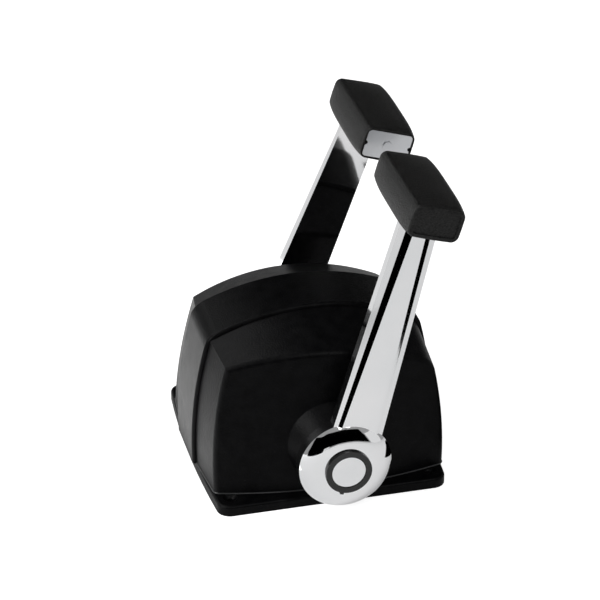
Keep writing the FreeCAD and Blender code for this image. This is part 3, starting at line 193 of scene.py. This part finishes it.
def pick(piece, kind, wanted):
    """Leaves the piece in edit mode with only the wanted faces or edges selected."""
    bpy.ops.object.mode_set(mode="EDIT")
    bpy.ops.mesh.select_mode(type=kind)
    bpy.ops.mesh.select_all(action="DESELECT")
    bpy.ops.object.mode_set(mode="OBJECT")
    mesh = piece.data
    if kind == "FACE":
        for face in mesh.polygons:
            face.select = wanted(face.center, face.normal)
    else:
        for edge in mesh.edges:
            first, second = (mesh.vertices[index].co for index in edge.vertices)
            edge.select = wanted(first, second)
    bpy.ops.object.mode_set(mode="EDIT")


def copy_of(node_name, name):
    """A copy of one CAD node's mesh as a piece of its own, with its loose corners joined."""
    deselect()
    piece = bpy.data.objects.new(name, NODES[node_name].data.copy())
    bpy.context.scene.collection.objects.link(piece)
    piece.select_set(True)
    bpy.context.view_layer.objects.active = piece
    bpy.ops.object.mode_set(mode="EDIT")
    select_whole()
    bpy.ops.mesh.remove_doubles(threshold=SAME_POINT)
    bpy.ops.object.mode_set(mode="OBJECT")
    return piece


def smooth(degrees):
    """Smooths the active piece, and leaves its sharper edges sharp."""
    bpy.ops.object.shade_smooth_by_angle(angle=math.radians(degrees))


# Grip sleeves

GRIP_WIDTH = 0.038
GRIP_DEPTH = 0.024
GRIP_INNER = 0.0186
GRIP_OUTER = 0.1088
GRIP_AHEAD = 0.005
GRIP_HEIGHT = 0.2015
PLATE_BACK = 0.0212
PLATE_LIP = 0.0014
LONG_ROUNDING = 0.0047
LONG_STEPS = 6
OUTER_ROUNDING = 0.0016
OUTER_STEPS = 5
INNER_ROUNDING = 0.0008
INNER_STEPS = 3
PANEL_MARGIN = 0.0014
PANEL_STEP = 0.0004
PANEL_SET_IN = 0.0009
LENGTH_PARTS = 7
WIDTH_CUTS = (-0.6, -0.35, 0.0, 0.35, 0.6)
DEPTH_CUTS = (-0.45, 0.0, 0.45)
FACES_ALONG = 0.99
SLEEVE_SMOOTH = 50.0
WIDTH_BULGE = 0.0017
DEPTH_BULGE = 0.0015
BULGE_POWER = 4
FACE_CROWN = 0.0005
HELD_BEHIND = 0.25
CROWN_HELD = 0.9


def cut_across(axis, places):
    """Cuts the whole piece by planes across one axis, so that its faces can be crowned."""
    for place in places:
        select_whole()
        spot = [0.0, 0.0, 0.0]
        spot[axis] = place
        facing = [0.0, 0.0, 0.0]
        facing[axis] = 1.0
        bpy.ops.mesh.bisect(plane_co=spot, plane_no=facing)


def crown_grip(mesh, half_reach):
    """Swells the grip between its ends. Its rear top edge stays nearly straight."""
    for corner in mesh.vertices:
        across = corner.co.x / (GRIP_WIDTH / 2)
        up = corner.co.z / (GRIP_DEPTH / 2)
        along = min(1.0, abs(corner.co.y) / half_reach)
        held = max(0.0, HELD_BEHIND - across) * max(0.0, up)
        swell = (1.0 - along ** BULGE_POWER) * max(0.0, 1.0 - held)
        crown = FACE_CROWN * (1.0 - across ** 2) * (1.0 - CROWN_HELD * held)
        corner.co.x += across * (WIDTH_BULGE * swell + FACE_CROWN * (1.0 - up ** 2))
        corner.co.z += up * (DEPTH_BULGE * swell + crown)


def put_on_lever(piece, ahead, outboard, height):
    """Takes a piece modelled round its own middle to its place on the leaning lever."""
    turn = Matrix.Rotation(LEAN, 4, "Y")
    place = HUB_AXIS + turn @ Vector((ahead, outboard, height))
    piece.matrix_world = Matrix.Translation(place) @ turn
    bpy.ops.object.transform_apply(location=True, rotation=True, scale=True)


def add_grip_sleeve(side, out):
    """One rubber grip: crowned faces, a set-in panel on its outer end, a lip round its end plate."""
    deselect()
    bpy.ops.mesh.primitive_cube_add(size=1.0)
    sleeve = bpy.context.object
    sleeve.name = side + "_grip_sleeve"
    reach = GRIP_OUTER - GRIP_INNER
    half = reach / 2

    def runs_along(first, second):
        return abs(first.y - second.y) > half

    def on_outer_end(first, second):
        return min(first.y * out, second.y * out) > half - NEARLY

    def on_inner_end(first, second):
        return max(first.y * out, second.y * out) < NEARLY - half

    def is_outer_end(middle, facing):
        return facing.y * out > FACES_ALONG and middle.y * out > half - NEARLY

    def is_inner_end(middle, facing):
        return facing.y * out < -FACES_ALONG and middle.y * out < NEARLY - half

    sleeve.scale = (GRIP_WIDTH, reach, GRIP_DEPTH)
    bpy.ops.object.transform_apply(location=False, rotation=False, scale=True)
    pick(sleeve, "EDGE", runs_along)
    bpy.ops.mesh.bevel(offset=LONG_ROUNDING, segments=LONG_STEPS, affect="EDGES")
    pick(sleeve, "EDGE", on_outer_end)
    bpy.ops.mesh.bevel(offset=OUTER_ROUNDING, segments=OUTER_STEPS, affect="EDGES")
    pick(sleeve, "EDGE", on_inner_end)
    bpy.ops.mesh.bevel(offset=INNER_ROUNDING, segments=INNER_STEPS, affect="EDGES")
    cut_across(SIDEWAYS, [half * step / LENGTH_PARTS for step in range(1 - LENGTH_PARTS, LENGTH_PARTS)])
    cut_across(AHEAD, [GRIP_WIDTH / 2 * part for part in WIDTH_CUTS])
    cut_across(UP, [GRIP_DEPTH / 2 * part for part in DEPTH_CUTS])
    pick(sleeve, "FACE", is_outer_end)
    bpy.ops.mesh.inset(thickness=PANEL_MARGIN)
    bpy.ops.mesh.inset(thickness=PANEL_STEP, depth=-PANEL_SET_IN)
    pick(sleeve, "FACE", is_inner_end)
    bpy.ops.mesh.inset(thickness=PLATE_LIP - INNER_ROUNDING)
    bpy.ops.mesh.inset(thickness=NEARLY, depth=GRIP_INNER - PLATE_BACK)
    bpy.ops.object.mode_set(mode="OBJECT")
    crown_grip(sleeve.data, half)
    put_on_lever(sleeve, GRIP_AHEAD, out * (GRIP_OUTER + GRIP_INNER) / 2, GRIP_HEIGHT)
    smooth(SLEEVE_SMOOTH)
    sleeve.data.materials.append(MATERIALS["grip_rubber"])
    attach(sleeve, side + "_lever")
    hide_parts(side + "_grip")


add_grip_sleeve("starboard", -1.0)
add_grip_sleeve("port", 1.0)


# Foot beads

FOOT_LEVEL = 0.0086
BEAD_RADIUS = 0.0006
BEAD_STEPS = 2
BEAD_SPACING = 0.0004
BAND_HALF = 0.0262
WALL_STANDS = 0.35


def add_foot_bead(side):
    """A thin bead where the foot of one cover meets the flange, drawn from the cover's own outline."""
    bead = copy_of(side + "_cover", side + "_foot_bead")
    cover_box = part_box(side + "_cover")
    way = 1.0 if cover_box[1][1] > 0.0 else -1.0
    start = Vector((0.0, way * BAND_HALF / 2, 0.0))

    def is_inner(centre, facing):
        outwards = Vector((centre.x, centre.y, 0.0)) - start
        flat = Vector((facing.x, facing.y, 0.0))
        return flat.length < WALL_STANDS or flat.dot(outwards) < 0.0 or abs(centre.y) < BAND_HALF

    pick(bead, "FACE", is_inner)
    bpy.ops.mesh.delete(type="FACE")
    select_whole()
    bpy.ops.mesh.bisect(plane_co=(0.0, 0.0, FOOT_LEVEL), plane_no=(0.0, 0.0, 1.0), clear_inner=True,
                        clear_outer=True)
    select_whole()
    bpy.ops.mesh.remove_doubles(threshold=BEAD_SPACING)
    bpy.ops.object.mode_set(mode="OBJECT")
    bpy.ops.object.convert(target="CURVE")
    bead.data.bevel_depth = BEAD_RADIUS
    bead.data.bevel_resolution = BEAD_STEPS
    bpy.ops.object.convert(target="MESH")
    smooth(FINE_SMOOTH)
    bead.data.materials.clear()
    bead.data.materials.append(MATERIALS["foot_rubber"])
    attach(bead, "housing")


for side in SIDES:
    add_foot_bead(side)


# Button springs


def add_button_spring(side):
    """The spring behind one hub button, copied from its CAD node with a mesh of its own."""
    spring = copy_of(side + "_button_spring", side + "_button_coil")
    smooth(FINE_SMOOTH)
    spring.data.materials.clear()
    spring.data.materials.append(MATERIALS["steel"])
    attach(spring, side + "_lever")
    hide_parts(side + "_button_spring")
    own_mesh(spring)


for side in SIDES:
    add_button_spring(side)


# Stage, light and camera

SEEN_GLOW = 0.78
MIRRORED_GLOW = 0.16
FLOOR_SPAN = 14.0
FLOOR_TONE = 0.90
FLOOR_ROUGH = 0.9
SKY_SEEN = 1.0
SKY_ELSEWHERE = 0.30
OBJECT_CENTRE = (0.0, 0.0, 0.10)
FLOOR_LEVEL = cad_box[0][2]
CARD_LEVEL = FLOOR_LEVEL + 0.001
UPWARDS = (0.0, 0.0, 1.0)
WHITE = (1.0, 1.0, 1.0, 1.0)
BLACK = (0.0, 0.0, 0.0, 1.0)

SENSOR_WIDTH = 36.0
LENS_LENGTH = 170.7
NEAREST = 0.05
FARTHEST = 30.0
CAMERA_PLACE = (-0.45525, -1.7853, 1.16414)
CAMERA_AIM = (-0.00335, 0.0006, 0.12194)

LAMPS = (
    dict(name="front_left_softbox", place=(-1.9, -0.3, 1.3), width=1.2, height=1.0, watts=26.0),
    dict(name="near_side_fill", place=(0.4, -1.6, 2.2), width=0.9, height=0.55, watts=8.0),
)

CARDS = (
    dict(name="dark_behind", place=(0.5, 2.3, 1.5), towards=(-0.2, -0.9, -0.5),
         width=4.6, height=2.4, glow=0.0),
    dict(name="dark_left", place=(-0.58, -0.85, 0.30), towards=(0.56, 0.83, 0.0),
         width=0.65, height=0.90, glow=0.0),
    dict(name="dark_right", place=(0.33, -0.02, CARD_LEVEL), towards=UPWARDS,
         width=0.42, height=0.24, glow=0.0),
    dict(name="dark_above", place=(0.8, -6.5, 3.3), towards=(0.0, 1.0, 0.0),
         width=10.0, height=6.0, glow=0.0),
    dict(name="pale_left", place=(-0.21, 0.17, CARD_LEVEL), towards=UPWARDS,
         width=0.22, height=0.60, glow=1.95),
    dict(name="pale_ahead", place=(-0.86, -3.2, 0.13), towards=(0.27, 0.96, 0.0),
         width=0.75, height=0.27, glow=0.68),
    dict(name="pale_high", place=(0.45, -1.25, 2.05), towards=(-0.19, 0.5, -0.85),
         width=1.1, height=0.7, glow=2.2),
    dict(name="pale_behind", place=(-0.62, 1.75, 0.95), towards=(0.3, -0.85, -0.4),
         width=0.35, height=1.0, glow=1.6),
    dict(name="pale_right", place=(1.5, -1.0, 0.42), towards=(-0.82, 0.55, 0.0),
         width=0.9, height=0.8, glow=0.72),
    dict(name="pale_over_left", place=(-0.84, 0.80, 1.85), towards=(0.36, -0.41, -0.84),
         width=0.8, height=0.8, glow=6.0),
    dict(name="dark_over_right", place=(0.36, 0.75, 1.95), towards=(-0.12, -0.36, -0.92),
         width=1.0, height=0.8, glow=0.0),
)


def aim_along(direction):
    """The turn that points a lamp, a card or the camera along a direction."""
    return Vector(direction).to_track_quat("-Z", "Y").to_euler()


def add_floor(level):
    """A white floor. It glows a little for the camera and for reflections, and keeps the shadow."""
    deselect()
    bpy.ops.mesh.primitive_plane_add(size=FLOOR_SPAN, location=(0.0, 0.0, level))
    floor = bpy.context.object
    floor.name = "floor"
    material = bpy.data.materials.new("floor")
    material.use_nodes = True
    tree = material.node_tree
    shader = tree.nodes["Principled BSDF"]
    shader.inputs["Base Color"].default_value = (FLOOR_TONE, FLOOR_TONE, FLOOR_TONE, 1.0)
    shader.inputs["Roughness"].default_value = FLOOR_ROUGH
    glow = tree.nodes.new("ShaderNodeEmission")
    rays = tree.nodes.new("ShaderNodeLightPath")
    mirrored = tree.nodes.new("ShaderNodeMath")
    mirrored.operation = "MAXIMUM"
    tree.links.new(rays.outputs["Is Glossy Ray"], mirrored.inputs[0])
    tree.links.new(rays.outputs["Is Transmission Ray"], mirrored.inputs[1])
    faint = tree.nodes.new("ShaderNodeMath")
    faint.operation = "MULTIPLY"
    faint.inputs[1].default_value = MIRRORED_GLOW
    tree.links.new(mirrored.outputs["Value"], faint.inputs[0])
    full = tree.nodes.new("ShaderNodeMath")
    full.operation = "MULTIPLY_ADD"
    full.inputs[1].default_value = SEEN_GLOW
    tree.links.new(rays.outputs["Is Camera Ray"], full.inputs[0])
    tree.links.new(faint.outputs["Value"], full.inputs[2])
    tree.links.new(full.outputs["Value"], glow.inputs["Strength"])
    both = tree.nodes.new("ShaderNodeAddShader")
    tree.links.new(shader.outputs["BSDF"], both.inputs[0])
    tree.links.new(glow.outputs["Emission"], both.inputs[1])
    tree.links.new(both.outputs["Shader"], tree.nodes["Material Output"].inputs["Surface"])
    floor.data.materials.append(material)


def light_world():
    """A white backdrop for the camera, and a dim even light for everything else."""
    world = bpy.data.worlds.new("studio")
    bpy.context.scene.world = world
    world.use_nodes = True
    tree = world.node_tree
    background = tree.nodes["Background"]
    background.inputs["Color"].default_value = WHITE
    rays = tree.nodes.new("ShaderNodeLightPath")
    power = tree.nodes.new("ShaderNodeMapRange")
    power.inputs["To Min"].default_value = SKY_ELSEWHERE
    power.inputs["To Max"].default_value = SKY_SEEN
    tree.links.new(rays.outputs["Is Camera Ray"], power.inputs["Value"])
    tree.links.new(power.outputs["Result"], background.inputs["Strength"])


def add_lamp(name, place, width, height, watts):
    """A soft lamp that points at the middle of the object."""
    lamp = bpy.data.lights.new(name, "AREA")
    lamp.shape = "RECTANGLE"
    lamp.size = width
    lamp.size_y = height
    lamp.energy = watts
    holder = bpy.data.objects.new(name, lamp)
    bpy.context.scene.collection.objects.link(holder)
    holder.location = place
    holder.rotation_euler = aim_along(Vector(OBJECT_CENTRE) - Vector(place))


def add_card(name, place, towards, width, height, glow):
    """A card that only reflections see.

    Black ones give the chrome its dark bands. Pale ones give it its silver, and the housing its sheen.
    """
    deselect()
    bpy.ops.mesh.primitive_plane_add(size=1.0)
    card = bpy.context.object
    card.name = name
    card.scale = (width, height, 1.0)
    card.location = place
    card.rotation_euler = aim_along(towards)
    material = bpy.data.materials.new(name)
    material.use_nodes = True
    shader = material.node_tree.nodes["Principled BSDF"]
    shader.inputs["Base Color"].default_value = BLACK
    shader.inputs["Roughness"].default_value = 1.0
    shader.inputs["Specular IOR Level"].default_value = 0.0
    shader.inputs["Emission Color"].default_value = WHITE
    shader.inputs["Emission Strength"].default_value = glow
    card.data.materials.append(material)
    card.visible_camera = False
    card.visible_diffuse = False
    card.visible_shadow = False


def add_camera():
    lens = bpy.data.cameras.new("photo_camera")
    lens.sensor_width = SENSOR_WIDTH
    lens.lens = LENS_LENGTH
    lens.clip_start = NEAREST
    lens.clip_end = FARTHEST
    camera = bpy.data.objects.new("photo_camera", lens)
    bpy.context.scene.collection.objects.link(camera)
    camera.location = CAMERA_PLACE
    camera.rotation_euler = aim_along(Vector(CAMERA_AIM) - Vector(CAMERA_PLACE))
    bpy.context.scene.camera = camera


add_floor(FLOOR_LEVEL)
light_world()
for lamp in LAMPS:
    add_lamp(**lamp)
for card in CARDS:
    add_card(**card)
add_camera()
bpy.context.scene.view_settings.view_transform = "Standard"
